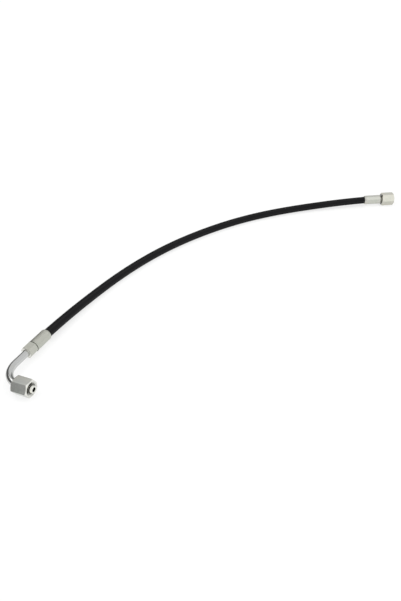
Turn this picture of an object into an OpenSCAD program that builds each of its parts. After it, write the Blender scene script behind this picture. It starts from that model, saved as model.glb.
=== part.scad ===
// Hydraulic hose assembly: a DN 6 hose with two wire braids, crimped at one end to a swept
// 90 degree elbow and at the other to a straight fitting. Both ends have a 24 degree cone nose
// with an O-ring and a hexagon swivel nut.
//
// Frame: the origin is the tip of the elbow's cone nose. +X leaves the elbow along its nut's
// axis, +Y is the way the hose leaves the elbow, and +Z is up. Both nuts lie on a flat of their
// hexagon, and the middle of the hose sags down to the same surface.

/* [Hose] */
// Outside diameter of the hose cover
hose_od = 13.2; // [12.8:0.1:14.0]
// Bore of the hose
hose_bore_d = 6.4; // [6.2:0.1:6.8]
// Wall of the rubber inner tube
inner_tube_wall = 1.2; // [1.0:0.05:1.3]
// Thickness of each wire braid
braid_t = 0.5; // [0.4:0.05:0.55]
// Thickness of the rubber between the two braids
interlayer_t = 0.3; // [0.2:0.05:0.4]

/* [Crimp ferrules] */
// Outside diameter of a crimped ferrule
ferrule_d = 17.2; // [16.8:0.1:18.4]
// Length of a ferrule
ferrule_l = 31; // [29:1:36]
// Length of the lip that locks behind the stem's collar
ferrule_lip_l = 3; // [2:0.5:4]
// Outside diameter at the hose mouth, where the sleeve is drawn in
ferrule_mouth_d = 15.2; // [14.8:0.1:16.4]
// Length over which the sleeve is drawn in to its mouth
ferrule_taper_l = 5; // [3:0.5:7]
// Distance across the eight flats that the crimping dies leave
crimp_af = 16.7; // [16.4:0.1:18]
// Number of gripping teeth inside the sleeve
tooth_n = 5; // [3:1:6]
// Depth of the grooves between the teeth
tooth_depth = 0.5; // [0.2:0.1:0.6]

/* [Hose stems] */
// Bore of the stem's tail
stem_bore_d = 4.2; // [3.6:0.1:4.6]
// Length of the barbed tail inside the hose
tail_l = 24; // [20:1:24]
// Number of barbs on the tail
barb_n = 6; // [4:1:8]
// Depth of the barbs
barb_depth = 0.4; // [0.2:0.05:0.5]
// Diameter of the locating collar that the hose butts against
stem_collar_d = 12.4; // [11.4:0.1:13]
// Length of the locating collar
stem_collar_l = 2.8; // [2:0.2:3.6]
// Diameter of the groove that the ferrule's lip is crimped into
lock_groove_d = 9.2; // [8.8:0.1:9.8]
// Distance across the flats of the elbow stem's hexagon
stem_hex_af = 16; // [15:0.5:17]
// Length of the elbow stem's hexagon
stem_hex_l = 15; // [12:1:20]
// Turn of the elbow stem's hexagon about its own axis
stem_hex_turn = 10; // [0:5:30]
// Diameter of the straight stem's neck, which the nut turns on
neck_d = 12; // [11.4:0.1:12.6]
// Length of neck that shows between the straight ferrule and its nut
neck_show_l = 3; // [2:0.5:6]

/* [Elbow tube] */
// Outside diameter of the elbow tube
tube_od = 10; // [9.6:0.1:10.4]
// Wall of the elbow tube
tube_wall = 1.5; // [1:0.1:1.8]
// Radius of the bend, measured at the middle of the tube
bend_r = 33; // [26:1:40]
// Straight length between the bend and the stem's hexagon
tube_leg_l = 23; // [16:1:34]
// Straight length between the bend and the tip of the cone nose
nose_leg_l = 23; // [22:0.5:30]
// Depth of the tube's brazed socket in the stem and in the nose
socket_l = 6.5; // [5:0.5:7]
// Depth of the recess that holds each braze ring
braze_l = 1; // [0.6:0.1:1.4]
// Radial width of each braze ring
braze_w = 0.6; // [0.4:0.1:0.7]

/* [Cone nose] */
// Diameter of the cone at its tip
cone_tip_d = 9.6; // [9.2:0.1:10]
// Full angle of the sealing cone, in degrees
cone_angle = 24; // [22:1:26]
// Length of the sealing cone
cone_l = 9; // [8.6:0.2:10]
// Diameter of the shoulder that the nut pulls on
shoulder_d = 15.2; // [14.6:0.1:15.6]
// Length of the shoulder's rim
shoulder_l = 3; // [2:0.5:4]
// Bore of the nose
nose_bore_d = 6; // [5:0.2:6.4]
// Length of the elbow's nose piece
nose_l = 15; // [14.8:0.2:16]
// Thickness of the O-ring
o_ring_t = 1.5; // [1.3:0.1:1.6]
// Distance from the tip to the middle of the O-ring
o_ring_at = 3.8; // [3.2:0.2:5]

/* [Swivel nuts] */
// Distance across the flats of a swivel nut
nut_af = 22; // [22:0.5:24]
// Length of a swivel nut
nut_l = 24; // [23:0.5:26]
// Diameter of the nut's end faces, inside their chamfers, as a share of the flats
nut_face_share = 0.95; // [0.9:0.01:0.98]
// Outside diameter of the thread
thread_d = 18; // [17.6:0.1:18.4]
// Pitch of the thread
thread_pitch = 1.5; // [1:0.25:2]
// Length of the thread from the nut's mouth
thread_l = 13.5; // [12:0.5:14]
// Length of the relief behind the thread
relief_l = 2; // [1.5:0.5:2.5]
// Thickness of the thrust wire in the straight nut
wire_t = 1.4; // [1.2:0.1:1.6]
// Opening left between the ends of the thrust wire, in degrees
wire_gap_angle = 20; // [10:5:40]
// Diameter of the hole that the thrust wire is fed in through
wire_hole_d = 1.8; // [1.7:0.1:2]

/* [Fits and clearances] */
// Gap between one layer of the hose and the next
layer_gap = 0.04; // [0.02:0.01:0.08]
// Gap between the hose and the metal inside and outside it
hose_fit_gap = 0.08; // [0.04:0.02:0.12]
// Gap between pieces of a fitting that are crimped or brazed together
joint_gap = 0.05; // [0.03:0.01:0.08]
// Radial clearance of the straight nut on its neck
swivel_gap = 0.1; // [0.05:0.01:0.1]
// Radial clearance of the elbow's loose nut on its tube
elbow_nut_gap = 0.55; // [0.45:0.05:0.6]
// Axial play of the straight nut
seat_play = 0.3; // [0.2:0.05:0.4]
// Small edge breaks on turned parts
edge = 0.4; // [0.2:0.1:0.6]

/* [Hidden] */
$fn = 64;
// Overshoot that keeps the faces of a cut off the faces it cuts
over = 1;

// The hose's centre line from the mouth of the elbow ferrule to the mouth of the straight one,
// measured from the first of them. It leaves along +Y.
hose_route = [
    [0, 0, 0], [0, 38.5, -1.2], [1, 75, -3.1], [4, 111.5, -4.2], [8, 147.5, -4.4],
    [14, 184, -4.4], [22, 219.5, -4.4], [31.5, 254.5, -4.4], [43.5, 289, -4.4], [58, 323, -4.4],
    [74.5, 355.5, -4.4], [93, 387, -4.4], [113, 417.5, -4.4], [135.5, 446.5, -4.4],
    [160, 473.5, -4.4], [186.5, 498.5, -4.3], [215, 521.5, -3.9], [245, 542, -3],
    [276, 561.5, -1.8], [307, 580.5, -0.6], [339.5, 597.5, 0]
];
// Heading of the straight fitting, turned from +X towards +Y, in degrees
straight_heading = 25.5;
hose_sides = 12;

// Radii of the hose's layers, from the bore outwards
hose_r = hose_od / 2;
inner_tube_r0 = hose_bore_d / 2;
inner_tube_r1 = inner_tube_r0 + inner_tube_wall;
inner_braid_r0 = inner_tube_r1 + layer_gap;
inner_braid_r1 = inner_braid_r0 + braid_t;
interlayer_r0 = inner_braid_r1 + layer_gap;
interlayer_r1 = interlayer_r0 + interlayer_t;
outer_braid_r0 = interlayer_r1 + layer_gap;
outer_braid_r1 = outer_braid_r0 + braid_t;
cover_r0 = outer_braid_r1 + layer_gap;

// Places along the elbow: the leg to the hose runs along Y, the leg to the nose along X
bend_end_x = -nose_leg_l;
hose_leg_x = bend_end_x - bend_r;
stem_y = bend_r + tube_leg_l;
elbow_ferrule_y = stem_y + stem_hex_l;
elbow_mouth_y = elbow_ferrule_y + ferrule_l;
hose_start = [hose_leg_x, elbow_mouth_y, 0];
hose_end = hose_start + hose_route[len(hose_route) - 1];
straight_dir = [cos(straight_heading), sin(straight_heading), 0];

// Crimped joint: the lip sits in the lock groove, then comes the collar, then the hose
ferrule_r = ferrule_d / 2;
grip_r = hose_r + hose_fit_gap;
lip_r = lock_groove_d / 2 + joint_gap;
collar_at = ferrule_lip_l + joint_gap;
hose_end_at = collar_at + stem_collar_l + joint_gap;
insertion_l = ferrule_l - hose_end_at;
// The hose's bore has flat sides, so the tail clears their middles
tail_r = hose_bore_d / 2 * cos(180 / hose_sides) - hose_fit_gap;
tooth_pitch = (insertion_l - ferrule_taper_l) / tooth_n;
tooth_share = 0.4;
octagon_turn = 180 / 8;

// Elbow tube and its sockets
tube_r = tube_od / 2;
tube_bore_r = tube_r - tube_wall;
socket_r = tube_r + joint_gap;
braze_r = socket_r + braze_w;

// Cone nose
nose_bore_r = nose_bore_d / 2;
cone_slope = tan(cone_angle / 2);
function cone_r(at) = cone_tip_d / 2 + at * cone_slope;
shoulder_r = shoulder_d / 2;
shoulder_end = cone_l + edge + shoulder_l;
nose_back_r = braze_r + edge;
groove_w = o_ring_t + 2 * hose_fit_gap + edge;
// Share of its own thickness that the O-ring sinks into the cone
o_ring_sunk = 0.8;
groove_r = cone_r(o_ring_at) - o_ring_t * o_ring_sunk;
o_ring_r = groove_r + joint_gap + o_ring_t / 2;

// Swivel nuts, measured from the mouth back
// Depth of a metric thread as a share of its pitch
thread_depth_share = 0.54127;
thread_minor_r = thread_d / 2 - thread_depth_share * thread_pitch;
thread_turns = floor(thread_l / thread_pitch);
seat_r = thread_minor_r;
seat_at = thread_turns * thread_pitch + relief_l;
neck_r = neck_d / 2;
elbow_nut_bore_r = tube_r + elbow_nut_gap;
// How far the loose nut goes back over the bend before its bore meets the inside of the bend
nut_over_bend = sqrt(pow(bend_r - tube_r, 2) - pow(bend_r - elbow_nut_bore_r + swivel_gap, 2));
straight_nut_bore_r = neck_r + swivel_gap;
// The straight nut's cone seat stands off the shoulder by the axial play
straight_nut_mouth = seat_at + (seat_r - shoulder_r) - seat_play - shoulder_end;
straight_nut_back = nut_l - straight_nut_mouth;
// Straight fitting, measured from the hose mouth outwards
straight_nose_at = ferrule_l + neck_show_l + straight_nut_back;
// The wire lies half in the neck and half in the nut, midway along the nut's plain bore
wire_r = neck_r + swivel_gap / 2;
wire_back = (nut_l - seat_at - (seat_r - straight_nut_bore_r)) / 2;
// The feed hole opens on the flat that lies low at the back
wire_hole_turn = 300;

// ---------------------------------------------------------------- placing

// Moves a turned piece onto the elbow's hose leg: its +Z points along +Y, its foot is at y
module on_hose_leg(y) {
    translate([hose_leg_x, y, 0]) rotate([-90, 0, 0]) children();
}

// Moves a turned piece onto the elbow's nose leg: its +Z points along +X, its foot is at x
module on_nose_leg(x) {
    translate([x, 0, 0]) rotate([0, 90, 0]) children();
}

// Moves a turned piece onto the straight fitting: its +Z points away from the hose
module on_straight(at) {
    translate(hose_end + at * straight_dir)
        rotate([0, 0, straight_heading]) rotate([0, 90, 0]) children();
}

// ---------------------------------------------------------------- hose

function unit(v) = v / norm(v);

// The whole run of the hose, with its straight ends inside the two ferrules
hose_line = concat(
    [hose_start - [0, insertion_l, 0]],
    [for (p = hose_route) hose_start + p],
    [hose_end + insertion_l * straight_dir]
);

function line_dir(i) =
    unit(hose_line[min(i + 1, len(hose_line) - 1)] - hose_line[max(i - 1, 0)]);

function ring(i, r) =
    let (along = line_dir(i), side = unit(cross(along, [0, 0, 1])), up = cross(side, along))
    [for (k = [0:hose_sides - 1])
        hose_line[i] + r * (cos(360 * k / hose_sides) * side + sin(360 * k / hose_sides) * up)];

// One layer of the hose, swept along the whole line between two radii
module hose_layer(r_in, r_out) {
    rings = len(hose_line);
    inner = rings * hose_sides;
    points = concat(
        [for (i = [0:rings - 1]) each ring(i, r_out)],
        [for (i = [0:rings - 1]) each ring(i, r_in)]
    );
    walls = [for (i = [0:rings - 2], k = [0:hose_sides - 1])
        let (a = i * hose_sides + k, b = i * hose_sides + (k + 1) % hose_sides,
             c = a + hose_sides, d = b + hose_sides)
        each [[a, b, c], [b, d, c],
              [inner + a, inner + c, inner + b], [inner + b, inner + c, inner + d]]];
    last = (rings - 1) * hose_sides;
    ends = [for (k = [0:hose_sides - 1])
        let (j = (k + 1) % hose_sides)
        each [[k, inner + k, j], [j, inner + k, inner + j],
              [last + k, last + j, inner + last + k],
              [last + j, inner + last + j, inner + last + k]]];
    polyhedron(points, concat(walls, ends));
}

module hose_cover() {
    color("#1c1c1e") hose_layer(cover_r0, hose_r);
}

module hose_outer_braid() {
    color("#b9a878") hose_layer(outer_braid_r0, outer_braid_r1);
}

module hose_interlayer() {
    color("#303030") hose_layer(interlayer_r0, interlayer_r1);
}

module hose_inner_braid() {
    color("#b9a878") hose_layer(inner_braid_r0, inner_braid_r1);
}

module hose_inner_tube() {
    color("#26262a") hose_layer(inner_tube_r0, inner_tube_r1);
}

// ---------------------------------------------------------------- turned pieces

// Hexagon bar with its corners chamfered at 30 degrees at both ends, standing on z = 0
module hex_bar(af, length, face_d) {
    corner_r = af / 2 / cos(30);
    cut = (corner_r - face_d / 2) * tan(30);
    intersection() {
        cylinder(r = corner_r, h = length, $fn = 6);
        rotate_extrude() polygon([
            [0, 0], [face_d / 2, 0], [corner_r, cut],
            [corner_r, length - cut], [face_d / 2, length], [0, length]
        ]);
    }
}

// Crimped sleeve, standing on its lip with its mouth up
module ferrule() {
    difference() {
        intersection() {
            rotate_extrude() polygon([
                [lip_r, 0], [ferrule_r - edge, 0], [ferrule_r, edge],
                [ferrule_r, ferrule_l - ferrule_taper_l],
                [ferrule_mouth_d / 2, ferrule_l - edge],
                [ferrule_mouth_d / 2 - edge, ferrule_l],
                [grip_r, ferrule_l], [grip_r, ferrule_lip_l], [lip_r, ferrule_lip_l]
            ]);
            rotate([0, 0, octagon_turn])
                cylinder(r = crimp_af / 2 / cos(octagon_turn), h = ferrule_l, $fn = 8);
        }
        for (i = [0:tooth_n - 1])
            translate([0, 0, hose_end_at + (i + tooth_share) * tooth_pitch])
                cylinder(r = grip_r + tooth_depth, h = tooth_pitch * (1 - tooth_share));
    }
}

// The part of a stem inside the crimp: lock groove, collar and barbed tail, up from z = 0.
// foot_l is how far it reaches below z = 0, into the stem's own body.
module stem_tail(foot_l) {
    barbs_from = collar_at + stem_collar_l;
    barb_pitch = tail_l / barb_n;
    core_r = tail_r - barb_depth;
    bore_r = stem_bore_d / 2;
    barbs = [for (i = [0:barb_n - 1]) each [
        [tail_r, barbs_from + i * barb_pitch],
        [core_r, barbs_from + (i + 1) * barb_pitch]
    ]];
    rotate_extrude() polygon(concat(
        [[bore_r, -foot_l], [lock_groove_d / 2, -foot_l], [lock_groove_d / 2, collar_at],
         [stem_collar_d / 2, collar_at], [stem_collar_d / 2, barbs_from]],
        barbs,
        [[bore_r, barbs_from + tail_l]]
    ));
}

// Sealing cone, O-ring groove and shoulder, down from the tip at z = 0. back_r is the radius
// behind the shoulder, and back_at how far back that goes.
module nose_blank(back_r, back_at) {
    groove_front = o_ring_at - groove_w / 2;
    groove_back = o_ring_at + groove_w / 2;
    rotate_extrude() polygon([
        [0, 0], [cone_r(0) - edge, 0], [cone_r(edge), -edge],
        [cone_r(groove_front), -groove_front], [groove_r, -groove_front],
        [groove_r, -groove_back], [cone_r(groove_back), -groove_back],
        [cone_r(cone_l), -cone_l], [shoulder_r - edge, -cone_l],
        [shoulder_r, -(cone_l + edge)], [shoulder_r, -shoulder_end],
        [back_r, -(shoulder_end + shoulder_r - back_r)], [back_r, -back_at], [0, -back_at]
    ]);
}

// Bore of the nose with a broken edge, from z = 0 down to depth
module nose_bore(depth) {
    rotate_extrude() polygon([
        [0, over], [nose_bore_r + edge + over, over], [nose_bore_r, -edge],
        [nose_bore_r, -depth], [0, -depth]
    ]);
}

// O-ring that sits in the groove of a nose whose tip is at z = 0
module o_ring() {
    color("#0d0d0d")
        translate([0, 0, -o_ring_at])
            rotate_extrude() translate([o_ring_r, 0]) circle(d = o_ring_t);
}

// Socket for the elbow tube with the recess for its braze ring, sunk from z = 0 downwards
module tube_socket() {
    translate([0, 0, -socket_l]) cylinder(r = socket_r, h = socket_l + over);
    translate([0, 0, -braze_l]) cylinder(r = braze_r + joint_gap, h = braze_l + over);
}

// Copper fillet left by brazing and plated over with the fitting, hollowed towards the open
// side, sunk from z = 0 downwards
module braze_ring() {
    color("#b2b2aa")
        difference() {
            translate([0, 0, -braze_l + joint_gap])
                difference() {
                    cylinder(r = braze_r, h = braze_l - joint_gap);
                    translate([0, 0, -over])
                        cylinder(r = tube_r + joint_gap / 2, h = braze_l + 2 * over);
                }
            rotate_extrude()
                translate([(braze_r + tube_r) / 2 + braze_w / 4, 0]) circle(r = braze_w / 2);
        }
}

// Swivel nut, up from its mouth at z = 0, with a 45 degree seat down to its plain bore
module nut_blank(bore_r) {
    // The broken mouth and the relief are both a little wider than the thread
    relief_r = thread_d / 2 + edge / 2;
    // Each turn is a land of a quarter pitch and a groove with its root at five eighths
    thread = [for (i = [0:thread_turns - 1]) each [
        [thread_minor_r, (i + 1 / 4) * thread_pitch],
        [thread_d / 2, (i + 5 / 8) * thread_pitch],
        [thread_minor_r, (i + 1) * thread_pitch]
    ]];
    relief_at = thread_turns * thread_pitch;
    difference() {
        rotate([0, 0, 30]) hex_bar(nut_af, nut_l, nut_af * nut_face_share);
        rotate_extrude() polygon(concat(
            [[0, -over], [relief_r + over, -over]],
            [for (p = thread) [max(p[0], relief_r - p[1]), p[1]]],
            [[relief_r, relief_at + edge], [relief_r, seat_at],
             [seat_r, seat_at], [bore_r, seat_at + seat_r - bore_r],
             [bore_r, nut_l - edge], [bore_r + edge + over, nut_l + over], [0, nut_l + over]]
        ));
    }
}

// ---------------------------------------------------------------- elbow end

module elbow_ferrule() {
    color("#c3c5c2") on_hose_leg(elbow_ferrule_y) ferrule();
}

module elbow_hex_stem() {
    color("#bfc1bc") on_hose_leg(stem_y) {
        difference() {
            union() {
                rotate([0, 0, stem_hex_turn])
                    hex_bar(stem_hex_af, stem_hex_l - joint_gap, stem_hex_af * nut_face_share);
                translate([0, 0, stem_hex_l]) stem_tail(stem_hex_l / 2);
            }
            rotate([180, 0, 0]) tube_socket();
            translate([0, 0, -over]) cylinder(d = stem_bore_d, h = stem_hex_l + 2 * over);
        }
    }
}

module elbow_stem_braze() {
    on_hose_leg(stem_y) rotate([180, 0, 0]) braze_ring();
}

module elbow_tube() {
    color("#b4b6b8") difference() {
        union() elbow_run(tube_r, 0);
        elbow_run(tube_bore_r, over);
    }
}

// The run of the elbow tube as a solid rod, longer by extra at both ends
module elbow_run(r, extra) {
    on_nose_leg(bend_end_x) cylinder(r = r, h = nose_leg_l - nose_l + socket_l - joint_gap + extra);
    translate([bend_end_x, bend_r, 0]) rotate([0, 0, 180])
        rotate_extrude(angle = 90) translate([bend_r, 0]) circle(r = r);
    on_hose_leg(bend_r) cylinder(r = r, h = tube_leg_l + socket_l - joint_gap + extra);
}

module elbow_nose_braze() {
    on_nose_leg(-nose_l) rotate([180, 0, 0]) braze_ring();
}

module elbow_cone_nose() {
    color("#d0d2d0") on_nose_leg(0) difference() {
        nose_blank(nose_back_r, nose_l);
        nose_bore(nose_l - socket_l + over);
        translate([0, 0, -nose_l]) rotate([180, 0, 0]) tube_socket();
    }
}

module elbow_o_ring() {
    on_nose_leg(0) o_ring();
}

// The nut is slid back until its end meets the bend
module elbow_swivel_nut() {
    color("#c8cac8") on_nose_leg(bend_end_x - nut_over_bend + nut_l) rotate([180, 0, 0])
        nut_blank(elbow_nut_bore_r);
}

// ---------------------------------------------------------------- straight end

module straight_ferrule() {
    color("#c3c5c2") on_straight(ferrule_l) rotate([180, 0, 0]) ferrule();
}

module straight_stem() {
    nose_depth = straight_nut_back + neck_show_l;
    color("#bfc1bc") on_straight(straight_nose_at) difference() {
        union() {
            nose_blank(neck_r, nose_depth - joint_gap);
            translate([0, 0, -nose_depth]) rotate([180, 0, 0]) stem_tail(neck_show_l / 2);
        }
        nose_bore(nose_depth - neck_show_l);
        translate([0, 0, -nose_depth - over]) cylinder(d = stem_bore_d, h = nose_depth);
        translate([0, 0, wire_back - straight_nut_back])
            rotate_extrude() translate([wire_r, 0]) circle(d = wire_t + 2 * joint_gap);
    }
}

module straight_o_ring() {
    on_straight(straight_nose_at) o_ring();
}

module straight_thrust_wire() {
    color("#9a9c9e") on_straight(straight_nose_at - straight_nut_back + wire_back)
        rotate([0, 0, wire_gap_angle / 2]) rotate_extrude(angle = 360 - wire_gap_angle)
            translate([wire_r, 0]) circle(d = wire_t);
}

module straight_swivel_nut() {
    color("#c8cac8") on_straight(straight_nose_at + straight_nut_mouth) rotate([180, 0, 0])
        difference() {
            nut_blank(straight_nut_bore_r);
            translate([0, 0, nut_l - wire_back]) {
                rotate_extrude() translate([wire_r, 0]) circle(d = wire_t + 4 * swivel_gap);
                rotate([0, 0, wire_hole_turn]) rotate([0, 90, 0])
                    cylinder(d = wire_hole_d, h = nut_af);
            }
        }
}

// ---------------------------------------------------------------- nodes

hose_cover();
hose_outer_braid();
hose_interlayer();
hose_inner_braid();
hose_inner_tube();
elbow_ferrule();
elbow_hex_stem();
elbow_stem_braze();
elbow_tube();
elbow_nose_braze();
elbow_cone_nose();
elbow_o_ring();
elbow_swivel_nut();
straight_ferrule();
straight_stem();
straight_o_ring();
straight_thrust_wire();
straight_swivel_nut();
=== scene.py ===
# %% [markdown]
# # Hydraulic hose assembly
# A black DN 6 hose with a crimped fitting on each end: a swept 90 degree elbow at the left, a
# straight fitting at the right, each with a cone nose, an O-ring and a hexagon swivel nut. The
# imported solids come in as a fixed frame. Each gets a finer mesh here, in the same place, with
# small radii, crimp marks, a real helical thread and its own finish.

from math import acos, atan2, cos, exp, log, pi, radians, sin, sqrt, tan

import bmesh
import bpy
from mathutils import Matrix, Vector


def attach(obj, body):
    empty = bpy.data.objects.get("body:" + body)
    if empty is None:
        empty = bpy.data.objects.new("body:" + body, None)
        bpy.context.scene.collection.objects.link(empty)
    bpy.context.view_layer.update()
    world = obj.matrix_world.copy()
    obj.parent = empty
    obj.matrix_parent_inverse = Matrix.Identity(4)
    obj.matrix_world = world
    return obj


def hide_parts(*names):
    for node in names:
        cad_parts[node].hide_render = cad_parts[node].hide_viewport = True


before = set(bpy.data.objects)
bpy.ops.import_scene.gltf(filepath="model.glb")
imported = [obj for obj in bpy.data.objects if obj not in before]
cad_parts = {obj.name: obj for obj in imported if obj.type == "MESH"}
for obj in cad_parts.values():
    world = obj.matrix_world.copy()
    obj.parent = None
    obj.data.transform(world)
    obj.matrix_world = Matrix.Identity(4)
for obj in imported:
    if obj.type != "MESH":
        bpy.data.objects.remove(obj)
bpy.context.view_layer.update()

# %% [markdown]
# ## Sizes
# All sizes are in millimetres, as a fitter reads them off a drawing, and become metres only when
# a vertex is made. They repeat the values of the solids. The others stand with their pieces.

# %% Sizes that the whole assembly needs
MM = 0.001
UM = 0.001 * MM
FIT_GAP = 0.05
SWIVEL_GAP = 0.1
EDGE = 0.4
NOSE_LEG_L = 23.0
BEND_R = 33.0
TUBE_LEG_L = 23.0
STEM_HEX_L = 15.0
FERRULE_L = 31.0
print("nose leg, bend, tube leg, mm:", NOSE_LEG_L, BEND_R, TUBE_LEG_L)

# %% [markdown]
# ## Where the fittings stand
# A turned piece is modelled standing on its own Z axis and then laid along one of three axes: the
# leg of the elbow that goes to the hose, the leg that goes to its nose, and the axis of the
# straight fitting. Each axis is one matrix, made once, so no piece has to be fitted by eye.

# %% Axes of the three legs
BEND_END_X = -NOSE_LEG_L
HOSE_LEG_X = BEND_END_X - BEND_R
STEM_Y = BEND_R + TUBE_LEG_L
FERRULE_Y = STEM_Y + STEM_HEX_L
HOSE_START = Vector((HOSE_LEG_X, FERRULE_Y + FERRULE_L, 0))
HOSE_SPAN = Vector((339.5, 597.5, 0))
HOSE_END = HOSE_START + HOSE_SPAN
STRAIGHT_HEADING = 25.5
STRAIGHT_DIR = Vector((cos(radians(STRAIGHT_HEADING)), sin(radians(STRAIGHT_HEADING)), 0))


def turn(degrees, axis):
    return Matrix.Rotation(radians(degrees), 4, axis)


def along_z(mm):
    return Matrix.Translation((0, 0, mm * MM))


FLIP = turn(180, "X")
HOSE_LEG = Matrix.Translation((HOSE_LEG_X * MM, 0, 0)) @ turn(-90, "X")
NOSE_LEG = turn(90, "Y")
STRAIGHT_AXIS = Matrix.Translation(HOSE_END * MM) @ turn(STRAIGHT_HEADING, "Z") @ turn(90, "Y")
print("straight fitting starts at, mm:", [round(v, 1) for v in HOSE_END])

# %% [markdown]
# ## Camera
# The camera looks down on the assembly from the side of the elbow's nut, with a slight roll. A
# Track To constraint could aim it, but it can't roll, so the matrix is built from three
# directions. The Standard view transform shows colours as they are written.

# %% Camera
CAMERA_AT = Vector((411.5, -379.7, 467.2))
CAMERA_DOWN = radians(33.77)
CAMERA_HEADING = radians(114.98)
CAMERA_ROLL = radians(2.95)
FOCAL_PX = 554
LONG_SIDE_PX = 601
SENSOR_MM = 36

look = Vector((cos(CAMERA_DOWN) * cos(CAMERA_HEADING), cos(CAMERA_DOWN) * sin(CAMERA_HEADING),
               -sin(CAMERA_DOWN)))
level_right = Vector((sin(CAMERA_HEADING), -cos(CAMERA_HEADING), 0))
level_up = level_right.cross(look)
right = level_right * cos(CAMERA_ROLL) - level_up * sin(CAMERA_ROLL)
up = level_up * cos(CAMERA_ROLL) + level_right * sin(CAMERA_ROLL)

camera = bpy.data.objects.new("camera", bpy.data.cameras.new("camera"))
bpy.context.scene.collection.objects.link(camera)
camera.data.sensor_width = SENSOR_MM
camera.data.lens = FOCAL_PX * SENSOR_MM / LONG_SIDE_PX
camera.data.clip_start, camera.data.clip_end = 0.01, 100
camera.matrix_world = Matrix.Translation(CAMERA_AT * MM) @ Matrix(
    (right, up, -look)).transposed().to_4x4()
bpy.context.scene.camera = camera
bpy.context.scene.view_settings.view_transform = "Standard"
print("lens, mm:", round(camera.data.lens, 2))

# %% [markdown]
# ## The line of the hose
# A hose this stiff lies in one long arc. It leaves each ferrule straight, then sinks until it
# rests on the bench. A smooth spline goes through the route's points, and a few rounds of
# averaging take out the small steps that rounded coordinates leave, with the ends held.

# %% Hose route and its smooth line
ROUTE = [
    (0, 0, 0), (0, 38.5, -1.2), (1, 75, -3.1), (4, 111.5, -4.2), (8, 147.5, -4.4),
    (14, 184, -4.4), (22, 219.5, -4.4), (31.5, 254.5, -4.4), (43.5, 289, -4.4), (58, 323, -4.4),
    (74.5, 355.5, -4.4), (93, 387, -4.4), (113, 417.5, -4.4), (135.5, 446.5, -4.4),
    (160, 473.5, -4.4), (186.5, 498.5, -4.3), (215, 521.5, -3.9), (245, 542, -3),
    (276, 561.5, -1.8), (307, 580.5, -0.6), (339.5, 597.5, 0),
]
LIP_L = 3.0
COLLAR_L = 2.8
INSERTION_L = FERRULE_L - LIP_L - FIT_GAP - COLLAR_L - FIT_GAP
STEPS_A_SPAN = 6
AVERAGING_ROUNDS = 60


def spline_point(a, b, c, d, t):
    """Point on the smooth line from b to c, where a and d are the neighbours."""
    return 0.5 * (2 * b + (c - a) * t + (2 * a - 5 * b + 4 * c - d) * t ** 2
                  + (3 * b - a - 3 * c + d) * t ** 3)


def smooth_hose_line():
    """Hose's centre line in millimetres, from one cut end to the other."""
    stops = [HOSE_START + Vector(p) for p in [(0, -INSERTION_L, 0)] + ROUTE]
    stops.append(HOSE_END + INSERTION_L * STRAIGHT_DIR)
    stops = [2 * stops[0] - stops[1]] + stops + [2 * stops[-1] - stops[-2]]
    line = []
    for a, b, c, d in zip(stops, stops[1:], stops[2:], stops[3:]):
        line += [spline_point(a, b, c, d, i / STEPS_A_SPAN) for i in range(STEPS_A_SPAN)]
    line.append(stops[-2])
    held = STEPS_A_SPAN
    for _ in range(AVERAGING_ROUNDS):
        middle = [(p + 2 * q + r) / 4 for p, q, r in
                  zip(line[held - 1:], line[held:-held], line[held + 1:])]
        line[held:-held] = middle
    return line


hose_line = smooth_hose_line()

# %% [markdown]
# ## Finishes
# Every finish is built from nodes. Metal patterns follow the axis of the fitting: a Mapping node
# lays the object's coordinates along that axis, so turning marks run round a turned face and
# drawing marks run along a bar. Numbers that are the same everywhere sit on the shader itself.

# %% Nodes of a material or a world


class Nodes:
    """A tree of nodes, with short ways to add and join them."""

    def __init__(self, owner):
        owner.use_nodes = True
        self.tree = owner.node_tree

    def put(self, source, socket):
        """Joins an output to that socket, or sets a plain value on it."""
        if isinstance(source, bpy.types.NodeSocket):
            self.tree.links.new(source, socket)
        else:
            socket.default_value = source

    def add(self, kind, links=(), **settings):
        """A node of that kind. links are (input, output) pairs, settings its own values."""
        node = self.tree.nodes.new(kind)
        for key, value in settings.items():
            setattr(node, key, value)
        for key, source in links:
            self.put(source, node.inputs[key])
        return node

    def math(self, operation, *values):
        return self.add("ShaderNodeMath", list(enumerate(values)), operation=operation).outputs[0]

    def times(self, one, other):
        return self.math("MULTIPLY", one, other)

    def vector(self, operation, one, other, output="Vector"):
        return self.add("ShaderNodeVectorMath", [(0, one), (1, other)],
                        operation=operation).outputs[output]

    def ramp(self, fac, *stops):
        """Colours at stops along fac."""
        node = self.add("ShaderNodeValToRGB", [(0, fac)])
        elements = node.color_ramp.elements
        while len(elements) < len(stops):
            elements.new(1)
        for element, (at, colour) in zip(elements, stops):
            element.position = at
            element.color = (*colour, 1)
        return node.outputs[0]

    def mix(self, share, colour, other):
        """The other colour where share is 1."""
        return self.add("ShaderNodeMix", [(0, share), (6, colour), (7, other)],
                        data_type="RGBA").outputs[2]

    def spread(self, value, low, high):
        """value from 0 to 1, spread from low to high."""
        return self.add("ShaderNodeMapRange", [(0, value), (3, low), (4, high)]).outputs[0]


# %% Finish of a piece


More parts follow.
